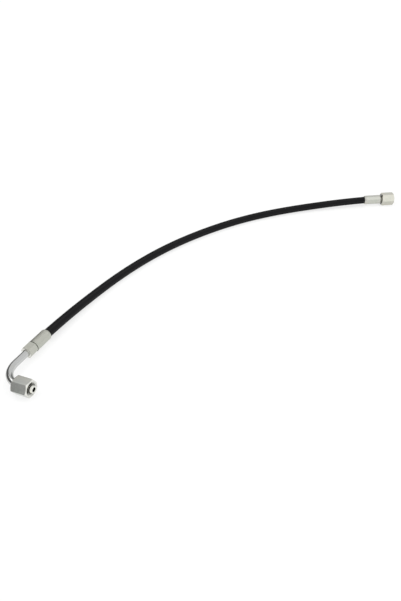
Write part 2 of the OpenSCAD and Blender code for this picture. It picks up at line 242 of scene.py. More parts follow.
class Finish(Nodes):
    """A new material with its shader, and the patterns that finishes are made from."""

    def __init__(self, name):
        self.material = bpy.data.materials.new(name)
        super().__init__(self.material)
        self.shader = self.tree.nodes["Principled BSDF"]

    def place(self, axis=None):
        """Object coordinates in metres, along a fitting's axis if one is given."""
        place = self.add("ShaderNodeTexCoord").outputs["Object"]
        if axis is None:
            return place
        return self.add("ShaderNodeMapping", [
            ("Vector", place), ("Location", axis.to_translation()),
            ("Rotation", axis.to_euler())], vector_type="TEXTURE").outputs[0]

    def parts(self, vector):
        return self.add("ShaderNodeSeparateXYZ", [(0, vector)]).outputs

    def noise(self, vector, scale, detail=3.0, roughness=0.5):
        return self.add("ShaderNodeTexNoise", [
            ("Vector", vector), ("Scale", scale), ("Detail", detail),
            ("Roughness", roughness)]).outputs[0]

    def bump(self, height, distance, strength=1.0, normal=None):
        """A bump of that distance, in metres, on top of another bump's normal."""
        links = [("Height", height), ("Distance", distance), ("Strength", strength)]
        if normal is not None:
            links.append(("Normal", normal))
        return self.add("ShaderNodeBump", links).outputs[0]

    def wear(self, **values):
        """Puts sockets and plain values on the shader."""
        for key, value in values.items():
            self.put(value, self.shader.inputs[key.replace("_", " ")])
        print("finish:", self.material.name)
        return self.material


# %% [markdown]
# ### Zinc plating
# Bright zinc over machined steel. Its thin film drifts faintly between warm and green. Lathe
# marks show as fine rings, drawing marks run along a hexagon bar, and handling leaves smears.
# Faces square to the axis and the front chamfers get a paler colour, a painted highlight. Flat
# faces that look back along the axis get it too, except on the straight fitting, where they get a
# dark colour, painted shade. Such faces could be picked out by place, but each piece would need
# its own numbers, so every face carries how squarely it faces along the axis, as an attribute.
# One function makes the zinc for each axis, in a tone of its own, and these tones are painted
# light: darker on the hose leg, much lighter on the nose.

# %% Zinc plating
FILM_SCALE, SMEAR_SCALE, GRAIN_SCALE = 60, 420, 1600
LATHE_SCALE, BAR_SCALE, BAR_STRETCH = 5200, 4200, 0.02
SMEAR_ROUGH, LATHE_ROUGH = 0.07, 0.04
ZINC_FILM = ((0.3, (0.54, 0.56, 0.505)), (0.5, (0.575, 0.58, 0.535)),
             (0.72, (0.575, 0.565, 0.505)))
# Pale colour for end faces and front chamfers: a painted highlight.
END_PAINTED_HIGHLIGHT = (0.75, 0.75, 0.71, 1)
# Dark colour for the straight fitting's flat back faces: painted shade.
BACK_PAINTED_SHADE = (0.13, 0.13, 0.12, 1)
END_ON = "end_on"
FRONT_SLOPE, BACK_SLOPE = 0.75, -0.99


def toned(tone, stops):
    """Stops of a ramp with each colour multiplied by a tone."""
    return [(at, [t * c for t, c in zip(tone, colour)]) for at, colour in stops]


# Unless back is given, flat back faces also get the painted highlight.
def zinc_finish(name, axis, rough, rings, streaks, tone, back=END_PAINTED_HIGHLIGHT):
    f = Finish(name)
    place = f.place(axis)
    x, y, z = f.parts(place)
    radius = f.math("SQRT", f.math("ADD", f.math("POWER", x, 2.0), f.math("POWER", y, 2.0)))
    section = f.add("ShaderNodeCombineXYZ", [(0, z), (1, radius)]).outputs[0]
    lathe = f.noise(section, LATHE_SCALE, 4, 0.65)
    bar = f.noise(f.vector("MULTIPLY", place, (1, 1, BAR_STRETCH)), BAR_SCALE)
    smear = f.noise(place, SMEAR_SCALE)
    colour = f.ramp(f.noise(place, FILM_SCALE, 2), *toned(tone, ZINC_FILM))
    end_on = f.add("ShaderNodeAttribute", attribute_name=END_ON).outputs["Fac"]
    # End faces and front chamfers get the painted highlight.
    colour = f.mix(f.math("GREATER_THAN", end_on, FRONT_SLOPE), colour, END_PAINTED_HIGHLIGHT)
    # Flat back faces get the colour back: the painted highlight, or painted shade on the straight
    # fitting.
    colour = f.mix(f.math("LESS_THAN", end_on, BACK_SLOPE), colour, back)
    matt = f.math("ADD", f.spread(smear, rough - SMEAR_ROUGH, rough + SMEAR_ROUGH),
                  f.spread(lathe, -LATHE_ROUGH * rings, LATHE_ROUGH * rings))
    normal = f.bump(lathe, 3 * UM, rings)
    normal = f.bump(bar, 4 * UM, streaks, normal)
    normal = f.bump(f.noise(place, GRAIN_SCALE, 2), 4 * UM, 0.5, normal)
    return f.wear(Base_Color=colour, Metallic=1.0, Roughness=matt, Normal=normal)


# The tones are painted light: the hose leg's zinc darker, the nose's much lighter, as light falls
# on them.
zinc_hose_leg = zinc_finish("zinc_hose_leg", HOSE_LEG, 0.24, 0.3, 0.7, (0.9, 0.9, 0.88))
zinc_nose_leg = zinc_finish("zinc_nose_leg", NOSE_LEG, 0.2, 0.6, 0.5, (1, 1.01, 1.04))
zinc_nose = zinc_finish("zinc_nose", NOSE_LEG, 0.16, 0.4, 0.0, (1.4, 1.4, 1.4))
# The straight stem's and nut's flat back faces get painted shade.
zinc_straight = zinc_finish("zinc_straight", STRAIGHT_AXIS, 0.24, 0.5, 0.5, (1, 0.98, 0.95),
                            back=BACK_PAINTED_SHADE)

# %% [markdown]
# ### Crimped sleeve
# The ferrules are the same zinc, but the crimping dies have pressed and slid along them. Their
# marks run lengthwise, the finish is a little duller, and a line of wear follows each ridge.
# A thin band at the foot, in the narrow seam, is dark: painted shade. A dark ring would do
# the same, but it would be a piece that the real fitting doesn't have.

# %% Crimped zinc
SLIDE_SCALE, SLIDE_STRETCH, DENT_SCALE = 2600, 0.05, 900
CRIMP_FILM = ((0.3, (0.52, 0.54, 0.485)), (0.55, (0.555, 0.56, 0.515)),
              (0.75, (0.55, 0.545, 0.49)))
CRIMP_FLATS = 8
RIDGE_FROM, RIDGE_WEAR = 0.985, 0.08
SEAM_MM = 0.45
# Dark band at the foot of each ferrule: painted shade in the seam.
SEAM_PAINTED_SHADE = (0.1, 0.1, 0.09, 1)


def crimped_finish(name, axis, foot, tone):
    f = Finish(name)
    place = f.place(axis)
    x, y, z = f.parts(place)
    slide = f.noise(f.vector("MULTIPLY", place, (1, 1, SLIDE_STRETCH)), SLIDE_SCALE, 4, 0.6)
    angle = f.math("ARCTAN2", y, x)
    ridge = f.math("ABSOLUTE", f.math("SINE", f.times(angle, CRIMP_FLATS / 2)))
    worn = f.times(f.math("GREATER_THAN", ridge, RIDGE_FROM), RIDGE_WEAR)
    off_foot = f.math("ABSOLUTE", f.math("SUBTRACT", z, foot * MM))
    # The band at the foot takes the painted shade.
    colour = f.mix(f.math("LESS_THAN", off_foot, SEAM_MM * MM),
                   f.ramp(f.noise(place, FILM_SCALE, 2), *toned(tone, CRIMP_FILM)), SEAM_PAINTED_SHADE)
    normal = f.bump(slide, 8 * UM, 0.7)
    normal = f.bump(f.noise(place, DENT_SCALE), 10 * UM, 0.5, normal)
    return f.wear(Base_Color=colour, Metallic=1.0, Normal=normal,
                  Roughness=f.math("SUBTRACT", f.spread(slide, 0.26, 0.46), worn))


# The tones are painted light: the hose leg's sleeve darker, the straight one lighter.
crimped_hose_leg = crimped_finish("crimped_hose_leg", HOSE_LEG, FERRULE_Y, (0.93, 0.93, 0.91))
crimped_straight = crimped_finish("crimped_straight", STRAIGHT_AXIS, FERRULE_L,
                                  (1.03, 1.02, 1.02))

# %% [markdown]
# ### Bent tube
# Drawn steel tube, smoother than the machined pieces and plated after it was bent. The mandrel
# has left faint ripples across the bend, which end where the straight legs begin. They are too
# low to be modelled, so a bump that counts the angle round the bend does it.

# %% Plated tube
RIPPLES, RIPPLE_DRIFT, DRIFT_SCALE = 95.0, 9.0, 90
TUBE_GRAIN_SCALE = 1900


def tube_finish():
    f = Finish("plated_tube")
    place = f.place()
    x, y, _ = f.parts(place)
    across = f.math("SUBTRACT", x, BEND_END_X * MM)
    ahead = f.math("SUBTRACT", y, BEND_R * MM)
    angle = f.math("ARCTAN2", ahead, across)
    in_bend = f.times(f.math("LESS_THAN", across, 0.0), f.math("LESS_THAN", ahead, 0.0))
    drift = f.times(f.noise(place, DRIFT_SCALE), RIPPLE_DRIFT)
    ripple = f.math("SINE", f.math("ADD", f.times(angle, RIPPLES), drift))
    grain = f.noise(place, TUBE_GRAIN_SCALE, 5, 0.6)
    colour = f.ramp(f.noise(place, FILM_SCALE, 2), (0.3, (0.53, 0.54, 0.53)),
                    (0.55, (0.565, 0.57, 0.565)), (0.75, (0.55, 0.55, 0.52)))
    normal = f.bump(f.times(ripple, in_bend), 10 * UM, 0.5)
    return f.wear(Base_Color=colour, Metallic=1.0, Roughness=f.spread(grain, 0.1, 0.18),
                  Normal=f.bump(grain, 4 * UM, 0.6, normal))


plated_tube = tube_finish()

# %% [markdown]
# ### Rubber
# The cover is vulcanised inside a cloth wrap, which leaves a very fine weave in it and faint
# ribs along it. Both follow the hose's own UV map. The inner rubbers are plain and matt, and the
# O-rings smooth.

# %% Rubbers
WEAVE_THREADS = 64
COVER_RIBS = 6
DUST_SHARE, RIB_SHARE, WEAVE_SHARE = 0.7, 0.3, 0.08
DUST_SCALE, COVER_GRAIN_SCALE = 60, 2400
TINT_SCALE, RUBBER_GRAIN_SCALE = 300, 2500


def cover_finish():
    f = Finish("cover_rubber")
    place = f.place()
    u, v, _ = f.parts(f.add("ShaderNodeUVMap").outputs[0])
    turns = 2 * pi * WEAVE_THREADS
    weave = f.times(f.math("SINE", f.times(u, turns)), f.math("SINE", f.times(v, turns)))
    dust = f.noise(place, DUST_SCALE, 5, 0.6)
    grain = f.noise(place, COVER_GRAIN_SCALE, 4, 0.7)
    ribs = f.math("COSINE", f.times(u, 2 * pi * COVER_RIBS))
    shade = f.math("ADD", f.times(dust, DUST_SHARE), f.spread(ribs, 0.0, RIB_SHARE))
    shade = f.math("ADD", shade, f.times(weave, WEAVE_SHARE))
    colour = f.ramp(shade, (0.25, (0.004, 0.004, 0.005)), (0.5, (0.007, 0.007, 0.008)),
                    (0.8, (0.013, 0.013, 0.013)))
    matt = f.math("ADD", f.spread(dust, 0.48, 0.6), f.spread(grain, -0.05, 0.05))
    normal = f.bump(grain, 20 * UM, 0.5, f.bump(weave, 40 * UM, 0.5))
    return f.wear(Base_Color=colour, Roughness=matt, Normal=normal, Specular_IOR_Level=0.12)


def rubber_finish(name, grey, rough):
    f = Finish(name)
    place = f.place()
    tint = f.noise(place, TINT_SCALE, 4)
    base = f.ramp(tint, (0.3, [0.8 * grey] * 3), (0.7, [1.2 * grey] * 3))
    return f.wear(Base_Color=base, Roughness=f.spread(tint, rough - 0.08, rough + 0.08),
                  Normal=f.bump(f.noise(place, RUBBER_GRAIN_SCALE), 10 * UM, 0.5))


cover_rubber = cover_finish()
inner_rubber = rubber_finish("inner_rubber", 0.045, 0.6)
seal_rubber = rubber_finish("seal_rubber", 0.014, 0.35)

# %% [markdown]
# ### Wire braid, braze and spring wire
# Flat bundles of brass-coated wire cross at the angle where a braided hose neither grows nor
# shrinks under pressure, about 54 degrees, and pass over and under each other. The braze rings
# are copper that ran into a fillet and was plated over, so only its uneven flow still shows. The
# thrust wire is drawn spring steel. The last two differ only in numbers, so they share a function.

# %% Braid, braze and wire
BUNDLES = 24
WIRES_A_BUNDLE = 6
BRAID_RISE = tan(radians(90 - 54.7))


def braid_finish():
    f = Finish("braid_wire")
    u, v, _ = f.parts(f.add("ShaderNodeUVMap").outputs[0])
    rise = f.times(v, 1 / BRAID_RISE)
    one_way, other_way = (f.times(f.math(operation, u, rise), BUNDLES / 2)
                          for operation in ("ADD", "SUBTRACT"))
    over = f.math("GREATER_THAN", f.times(*(
        f.math("SINE", f.times(way, 2 * pi)) for way in (one_way, other_way))), 0.0)
    wires = 2 * pi * WIRES_A_BUNDLE
    first, second = (f.math("ABSOLUTE", f.math("SINE", f.times(way, wires)))
                     for way in (one_way, other_way))
    height = f.math("ADD", f.times(first, over), f.times(second, f.math("SUBTRACT", 1.0, over)))
    # The colour darkens where the wires dip under each other: painted shade between the wires.
    colour = f.ramp(height, (0.1, (0.16, 0.12, 0.07)), (0.6, (0.62, 0.52, 0.32)))
    return f.wear(Base_Color=colour, Metallic=1.0, Roughness=0.32,
                  Normal=f.bump(height, 100 * UM, 0.8))


def metal_finish(name, scale, detail, roughness, dark, light, matt, depth, strength):
    """One noise sets a metal's colour, its roughness and its bump."""
    f = Finish(name)
    flow = f.noise(f.place(), scale, detail, roughness)
    return f.wear(Base_Color=f.ramp(flow, (0.3, dark), (0.7, light)), Metallic=1.0,
                  Roughness=f.spread(flow, *matt), Normal=f.bump(flow, depth, strength))


braid_wire = braid_finish()
plated_braze = metal_finish("plated_braze", 700, 5, 0.6, dark=(0.58, 0.56, 0.50),
                            light=(0.68, 0.68, 0.64), matt=(0.3, 0.5), depth=40 * UM, strength=0.6)
spring_wire = metal_finish("spring_wire", 2600, 4, 0.5, dark=(0.36, 0.36, 0.37),
                           light=(0.5, 0.5, 0.51), matt=(0.25, 0.4), depth=10 * UM, strength=0.5)

# %% [markdown]
# ## Handing a piece over
# A finished mesh becomes an object at the origin with its finish, rides on its body and stands
# for its CAD solid. Faces are shaded smooth, except across edges that are meant to be crisp, and
# a Weighted Normal modifier keeps the flats flat beside their small radii.

# %% Hand a finished piece over
CRISP_ANGLE = radians(38)


def new_object(name, bm, finish=None):
    """Object at the origin made of that mesh, which is used up."""
    mesh = bpy.data.meshes.new(name)
    bm.to_mesh(mesh)
    bm.free()
    if finish is not None:
        mesh.materials.append(finish)
    thing = bpy.data.objects.new(name, mesh)
    bpy.context.scene.collection.objects.link(thing)
    return thing


def hand_over(name, bm, finish, node, body="hose_assembly"):
    for face in bm.faces:
        face.smooth = True
    for edge in bm.edges:
        edge.smooth = len(edge.link_faces) == 2 and edge.calc_face_angle(0) < CRISP_ANGLE
    piece = new_object(name, bm, finish)
    weighted = piece.modifiers.new("flat faces", "WEIGHTED_NORMAL")
    weighted.keep_sharp = True
    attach(piece, body)
    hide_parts(node)
    print(name, "faces:", len(piece.data.polygons))
    return piece


# %% [markdown]
# ## The hose
# The hose is five tubes, one in another: liner, braid, thin rubber, braid, cover. Each starts as
# two circles, the outside and the bore, which are extruded step by step along the hose's line
# and turned with it, and are bridged at both ends. A curve with a round bevel would look the
# same, but it has no wall. Every vertex remembers how far round and along it is, and that
# becomes the UV map for the weave and the braid.

# %% Rings that grow
HOSE_R = 6.6


def start_ring(bm, radius, sides):
    """Vertices and edges of a circle round Z."""
    verts = bmesh.ops.create_circle(bm, cap_ends=False, radius=radius * MM,
                                    segments=sides)["verts"]
    return verts, list({edge for vert in verts for edge in vert.link_edges})


def sorted_geom(geom):
    """The vertices and the edges among what an operator made."""
    return [[g for g in geom if isinstance(g, kind)] for kind in (
        bmesh.types.BMVert, bmesh.types.BMEdge)]


def grow(bm, edges):
    """Vertices and edges of a ring extruded from those edges."""
    return sorted_geom(bmesh.ops.extrude_edge_only(bm, edges=edges)["geom"])


def spin(bm, geom, angle, steps, merge=False, lift=0.0, centre=(0, 0, 0)):
    """Turns geometry round a centre about Z, and lifts it a little at each step."""
    return bmesh.ops.spin(bm, geom=geom, cent=centre, axis=(0, 0, 1), dvec=(0, 0, lift),
                          angle=angle, steps=steps, use_merge=merge, use_duplicate=False)


def line_frame(i):
    """Matrix that stands on the hose's line at point i, with Z along the line."""
    ahead = hose_line[min(i + 1, len(hose_line) - 1)] - hose_line[max(i - 1, 0)]
    ahead.normalize()
    side = ahead.cross(Vector((0, 0, 1))).normalized()
    upright = Matrix((side, side.cross(ahead), ahead)).transposed().to_4x4()
    return Matrix.Translation(hose_line[i] * MM) @ upright


# %% Sweep one layer of the hose


def swept_wall(bm, radius, sides):
    """One wall of a hose layer. Returns the edges of its first and last ring."""
    around = bm.verts.layers.float["around"]
    along = bm.verts.layers.float["along"]
    verts, edges = start_ring(bm, radius, sides)
    for vert in verts:
        vert[around] = (atan2(vert.co.y, vert.co.x) / (2 * pi)) % 1
    bmesh.ops.transform(bm, matrix=line_frame(0), verts=verts)
    first, run = list(edges), 0.0
    for i in range(1, len(hose_line)):
        verts, edges = grow(bm, edges)
        run += (hose_line[i] - hose_line[i - 1]).length
        for vert in verts:
            vert[along] = run / (2 * pi * HOSE_R)
        step = line_frame(i) @ line_frame(i - 1).inverted()
        bmesh.ops.transform(bm, matrix=step, verts=verts)
    return first, edges


def closed(bm, *gaps):
    """The mesh with each gap bridged, given as all its edges, and its faces turned outwards."""
    for edges in gaps:
        bmesh.ops.bridge_loops(bm, edges=edges)
    bmesh.ops.recalc_face_normals(bm, faces=bm.faces)
    return bm


def hose_layer(inner_r, outer_r, sides):
    bm = bmesh.new()
    around = bm.verts.layers.float.new("around")
    along = bm.verts.layers.float.new("along")
    outside, bore = (swept_wall(bm, radius, sides) for radius in (outer_r, inner_r))
    closed(bm, *(one + other for one, other in zip(outside, bore)))
    uv = bm.loops.layers.uv.new("UVMap")
    for face in bm.faces:
        turns = [loop.vert[around] for loop in face.loops]
        wraps = max(turns) - min(turns) > 0.5
        for loop, at in zip(face.loops, turns):
            loop[uv].uv = (at + 1 if wraps and at < 0.5 else at, loop.vert[along])
    return bm


# %% Hose cover
HOSE_BORE_R = 3.2
INNER_TUBE_WALL = 1.2
BRAID_T = 0.5
INTERLAYER_T = 0.3
LAYER_GAP = 0.04
COVER_SIDES = 48
LAYER_SIDES = 32
inner_tube_r = HOSE_BORE_R + INNER_TUBE_WALL
inner_braid_r = inner_tube_r + LAYER_GAP
interlayer_r = inner_braid_r + BRAID_T + LAYER_GAP
outer_braid_r = interlayer_r + INTERLAYER_T + LAYER_GAP
cover_r = outer_braid_r + BRAID_T + LAYER_GAP

hose_cover = hand_over("hose_cover_tube", hose_layer(cover_r, HOSE_R, COVER_SIDES), cover_rubber,
                       "hose_cover")

# %% The layers under the cover
for node, inner, wall, finish, slot in (
        ("hose_outer_braid", outer_braid_r, BRAID_T, braid_wire, "braid_wire"),
        ("hose_interlayer", interlayer_r, INTERLAYER_T, inner_rubber, "inner_rubber"),
        ("hose_inner_braid", inner_braid_r, BRAID_T, braid_wire, "braid_wire"),
        ("hose_inner_tube", HOSE_BORE_R, INNER_TUBE_WALL, inner_rubber, "inner_rubber")):
    hand_over(node + "_layer", hose_layer(inner, inner + wall, LAYER_SIDES),
                            finish, node)

# %% [markdown]
# ## Turned pieces
# A lathe makes a shape by turning an outline, and the Spin operator does the same: a closed
# outline of radius and height goes once round Z and is merged where it meets itself. Then the
# sharp edges get a small radius with Bevel, which catches the light as a real edge break does.

# %% Helpers for turned pieces
TURN_STEPS = 96


def draw_outline(bm, outline, is_loop):
    """Vertices and edges of (radius, height) points in the plane through X and Z."""
    verts = [bm.verts.new((r * MM, 0, z * MM)) for r, z in outline]
    following = verts[1:] + verts[:1] if is_loop else verts[1:]
    return verts + [bm.edges.new(pair) for pair in zip(verts, following)]


def turn_outline(bm, outline, is_loop=True, steps=TURN_STEPS):
    """Turns an outline once round Z."""
    spin(bm, draw_outline(bm, outline, is_loop), 2 * pi, steps, merge=True)


def turned(outline, steps=TURN_STEPS):
    """New mesh of a closed outline turned round Z."""
    bm = bmesh.new()
    turn_outline(bm, outline, steps=steps)
    return closed(bm)


# %% Helpers that shape a turned piece
FACE_SHARE = 0.95


def polar(vert):
    """Radius in millimetres and angle of a vertex round Z."""
    return vert.co.xy.length / MM, atan2(vert.co.y, vert.co.x)


def break_edges(bm, width, where, sharper_than=25):
    """Rounds the edges that are sharper than that many degrees. where(radius, height) picks."""
    chosen = [e for e in bm.edges if len(e.link_faces) == 2
              and e.calc_face_angle(0) > radians(sharper_than)
              and all(where(v.co.xy.length / MM, v.co.z / MM) for v in e.verts)]
    bmesh.ops.bevel(bm, geom=chosen, offset=width * MM, offset_type="OFFSET", affect="EDGES",
                    segments=2, profile=0.5, material=-1, clamp_overlap=True)


def hexagon_radii(af):
    """Radius of a bar's round end face and of its corners."""
    return af / 2 * FACE_SHARE, af / 2 / cos(pi / 6)


def hexagon_outline(af, length, corner_at):
    """Outside of a bar for shape_hexagon, with its corners turned down to about corner_at."""
    face_r, corner_r = hexagon_radii(af)
    return [(face_r, 0), (corner_r, corner_at), (corner_r, length - corner_at), (face_r, length)]


def shape_hexagon(bm, af, length):
    """Moves the outer rings of a turned bar onto a hexagon with chamfered corners."""
    face_r, corner_r = hexagon_radii(af)
    for vert in bm.verts:
        radius, angle = polar(vert)
        if radius < corner_r - FIT_GAP:
            continue
        off_flat = (angle + pi / 6) % (pi / 3) - pi / 6
        flat_r = af / 2 / cos(off_flat)
        vert.co.xy = vert.co.xy * (flat_r / radius)
        cut = (flat_r - face_r) * tan(pi / 6)
        vert.co.z = (cut if vert.co.z / MM < length / 2 else length - cut) * MM


def lay(bm, *moves):
    """Moves a piece by one matrix after another, the last one first.

    Each face then remembers for the finishes how squarely it faces along the first one's Z.
    """
    matrix = Matrix.Identity(4)
    for move in moves:
        matrix = matrix @ move
    bmesh.ops.transform(bm, matrix=matrix, verts=bm.verts)
    bm.normal_update()
    along = moves[0].to_3x3() @ Vector((0, 0, 1))
    end_on = bm.faces.layers.float.get(END_ON) or bm.faces.layers.float.new(END_ON)
    for face in bm.faces:
        face[end_on] = face.normal.dot(along)
    return bm


# %% [markdown]
# ## Ferrules
# A ferrule starts as a plain sleeve with gripping teeth inside. The crimping machine closes eight
# dies on it, which press eight shallow flats with a soft ridge between each two, and the mouth
# stays drawn in round the hose. So the sleeve is turned first and pressed after, ring by ring.

# %% Outline of a ferrule
FERRULE_R = 8.6
FERRULE_TAPER_L = 5.0
TAPER_LEAD = 0.5
MOUTH_R = 7.2
MOUTH_STEPS = 10
MOUTH_FLARE, MOUTH_FLARE_L = 0.15, 0.3
PRESS_RINGS = (0.9, 1.4, 1.9, 2.4, 3, 4, 8, 12, 16, 20, 23, 24.5)
GRIP_R = 6.68
TOOTH_N = 5
TOOTH_DEPTH = 0.5
TOOTH_GAP_SHARE = 0.4
LOCK_GROOVE_R = 4.6


def ferrule_outline():
    hose_end_at = FERRULE_L - INSERTION_L
    lip_r = LOCK_GROOVE_R + FIT_GAP
    mouth_from = FERRULE_L - FERRULE_TAPER_L - TAPER_LEAD
    outline = [(lip_r, 0), (FERRULE_R - EDGE, 0), (FERRULE_R, EDGE)]
    outline += [(FERRULE_R, z) for z in PRESS_RINGS]
    for i in range(MOUTH_STEPS + 1):
        t = i / MOUTH_STEPS
        outline.append((FERRULE_R - (FERRULE_R - MOUTH_R) * (1 - sqrt(1 - t * t)),
                        mouth_from + (FERRULE_L - mouth_from) * t))
    outline += [(GRIP_R + MOUTH_FLARE, FERRULE_L), (GRIP_R, FERRULE_L - MOUTH_FLARE_L)]
    pitch = (INSERTION_L - FERRULE_TAPER_L) / TOOTH_N
    for i in reversed(range(TOOTH_N)):
        low, high = hose_end_at + (i + TOOTH_GAP_SHARE) * pitch, hose_end_at + (i + 1) * pitch
        outline += [(GRIP_R, high), (GRIP_R + TOOTH_DEPTH, high),
                    (GRIP_R + TOOTH_DEPTH, low), (GRIP_R, low)]
    return outline + [(GRIP_R, LIP_L), (lip_r, LIP_L)]


print("ferrule: outline points:", len(ferrule_outline()))

# %% Ferrules
CRIMP_AF = 16.7
PRESSED_FROM, PRESSED_TO = 1.6, 26.5
PRESS_FADE = 1.4
RIDGE_SOFTNESS = 0.09
FERRULE_STEPS = 128


def press_flats(bm):
    """Presses the eight flats of the crimp into the outside of a sleeve."""
    sector = 2 * pi / CRIMP_FLATS
    for vert in bm.verts:
        radius, angle = polar(vert)
        height = vert.co.z / MM
        if radius < GRIP_R + TOOTH_DEPTH + FIT_GAP:
            continue
        off_flat = (angle + sector / 2) % sector - sector / 2
        flat_r = CRIMP_AF / 2 / cos(off_flat)
        pressed = -RIDGE_SOFTNESS * log(exp(-radius / RIDGE_SOFTNESS)
                                        + exp(-flat_r / RIDGE_SOFTNESS))
        into = min(1, max(0, (height - PRESSED_FROM) / PRESS_FADE + 0.5))
        out = min(1, max(0, (PRESSED_TO - height) / PRESS_FADE + 0.5))
        vert.co.xy = vert.co.xy * ((radius + (pressed - radius) * into * out) / radius)


def ferrule():
    bm = turned(ferrule_outline(), steps=FERRULE_STEPS)
    press_flats(bm)
    break_edges(bm, width=0.12, sharper_than=30,
                where=lambda radius, height: radius > GRIP_R + TOOTH_DEPTH)
    return bm


hand_over("elbow_ferrule_sleeve", lay(ferrule(), HOSE_LEG, along_z(FERRULE_Y)),
          crimped_hose_leg, "elbow_ferrule")
hand_over("straight_ferrule_sleeve", lay(ferrule(), STRAIGHT_AXIS, along_z(FERRULE_L), FLIP),
          crimped_straight, "straight_ferrule")

# %% [markdown]
# ## Stems
# A stem holds the hose from inside. Its barbed tail goes into the liner, the hose butts against
# its collar, and the ferrule's lip is crimped into the groove beside the collar. The elbow's stem
# has a long hexagon and a socket for the tube. The straight one carries the cone nose itself.

# %% Outlines that the stems and the nose share
STEM_BORE_R = 2.1
TAIL_L, TAIL_R = 24.0, 3.01
BARB_N, BARB_DEPTH = 6, 0.4
COLLAR_R = 6.2
CONE_TIP_R, CONE_L = 4.8, 9.0
CONE_SLOPE = tan(radians(12))
SHOULDER_R, SHOULDER_L = 7.6, 3.0
NOSE_BORE_R = 3.0
O_RING_T, O_RING_AT = 1.5, 3.8
O_RING_SINK = 0.8 * O_RING_T
HOSE_FIT_GAP = 0.08


def cone_r(at):
    return CONE_TIP_R + at * CONE_SLOPE


def tail_outline(start, way):
    """Lock groove, collar and barbs, from the body's face at start, going up or down."""
    collar_at = LIP_L + FIT_GAP
    barbs_at = collar_at + COLLAR_L
    steps = [(LOCK_GROOVE_R, 0), (LOCK_GROOVE_R, collar_at), (COLLAR_R, collar_at),
             (COLLAR_R, barbs_at)]
    pitch = TAIL_L / BARB_N
    for i in range(BARB_N):
        steps += [(TAIL_R, barbs_at + i * pitch),
                  (TAIL_R - BARB_DEPTH, barbs_at + (i + 1) * pitch)]
    steps.append((STEM_BORE_R, barbs_at + TAIL_L))
    return [(r, start + way * z) for r, z in steps]


def nose_outline(back_r):
    """Cone, O-ring groove and shoulder, from the tip at height 0 downwards."""
    groove_w = O_RING_T + 2 * HOSE_FIT_GAP + EDGE
    front, back = O_RING_AT - groove_w / 2, O_RING_AT + groove_w / 2
    groove_r = cone_r(O_RING_AT) - O_RING_SINK
    rim_end = CONE_L + EDGE + SHOULDER_L
    return [(NOSE_BORE_R, -EDGE), (NOSE_BORE_R + EDGE, 0), (CONE_TIP_R - EDGE, 0),
            (cone_r(EDGE), -EDGE), (cone_r(front), -front), (groove_r, -front),
            (groove_r, -back), (cone_r(back), -back), (cone_r(CONE_L), -CONE_L),
            (SHOULDER_R - EDGE, -CONE_L), (SHOULDER_R, -CONE_L - EDGE), (SHOULDER_R, -rim_end),
            (back_r, -(rim_end + SHOULDER_R - back_r))]


print("barb pitch, mm:", TAIL_L / BARB_N, " cone's large end:", round(2 * cone_r(CONE_L), 2))

# %% Elbow's hexagon stem
STEM_HEX_AF = 16.0
STEM_HEX_TURN = 10.0
TUBE_R = 5.0
SOCKET_L = 6.5
BRAZE_L, BRAZE_W = 1.0, 0.6
SOCKET_R = TUBE_R + FIT_GAP
BRAZE_R = SOCKET_R + BRAZE_W
RECESS_R = BRAZE_R + FIT_GAP


def hex_stem():
    length = STEM_HEX_L - FIT_GAP
    outline = [(RECESS_R, 0)] + hexagon_outline(STEM_HEX_AF, length, corner_at=1)
    outline += [(LOCK_GROOVE_R, length)] + tail_outline(STEM_HEX_L, 1)[1:]
    outline += [(STEM_BORE_R, SOCKET_L), (SOCKET_R, SOCKET_L), (SOCKET_R, BRAZE_L),
                (RECESS_R, BRAZE_L)]
    bm = turned(outline)
    shape_hexagon(bm, STEM_HEX_AF, length)
    break_edges(bm, width=0.15,
                where=lambda radius, height: radius > RECESS_R and height < STEM_HEX_L)
    return lay(bm, turn(STEM_HEX_TURN + 30, "Z"))


hand_over("elbow_stem_body", lay(hex_stem(), HOSE_LEG, along_z(STEM_Y)), zinc_hose_leg,
          "elbow_hex_stem")

# %% Elbow's cone nose
NOSE_L = 15.0


def elbow_nose():
    back_r = BRAZE_R + EDGE
    outline = nose_outline(back_r)
    outline += [(back_r, -NOSE_L), (RECESS_R, -NOSE_L), (RECESS_R, BRAZE_L - NOSE_L),
                (SOCKET_R, BRAZE_L - NOSE_L), (SOCKET_R, SOCKET_L - NOSE_L),
                (NOSE_BORE_R, SOCKET_L - NOSE_L)]
    bm = turned(outline)
    break_edges(bm, width=0.1, sharper_than=40,
                where=lambda radius, height: height > -NOSE_L + BRAZE_L)
    return bm


hand_over("elbow_nose_body", lay(elbow_nose(), NOSE_LEG), zinc_nose, "elbow_cone_nose")

# %% [markdown]
# The straight nut's own length sets how far its nose stands from the ferrule, so the places
# along the straight fitting are worked out from the nut, as they are in the solids.

# %% Places along the straight fitting
NUT_L = 24.0
THREAD_R, THREAD_PITCH, THREAD_TURNS = 9.0, 1.5, 9
THREAD_MINOR_R = THREAD_R - 0.54127 * THREAD_PITCH
RELIEF_L = 2.0
RELIEF_AT = THREAD_TURNS * THREAD_PITCH
SEAT_AT = RELIEF_AT + RELIEF_L
SEAT_PLAY = 0.3
NECK_R, NECK_SHOW_L = 6.0, 3.0
STRAIGHT_NUT_BORE_R = NECK_R + SWIVEL_GAP
ELBOW_NUT_BORE_R = TUBE_R + 0.55
NUT_OVER_BEND = sqrt((BEND_R - TUBE_R) ** 2 - (BEND_R - ELBOW_NUT_BORE_R + SWIVEL_GAP) ** 2)
ELBOW_NUT_MOUTH_X = BEND_END_X - NUT_OVER_BEND + NUT_L
STRAIGHT_NUT_MOUTH = (SEAT_AT + (THREAD_MINOR_R - SHOULDER_R) - SEAT_PLAY
                      - (CONE_L + EDGE + SHOULDER_L))
STRAIGHT_NUT_BACK = NUT_L - STRAIGHT_NUT_MOUTH
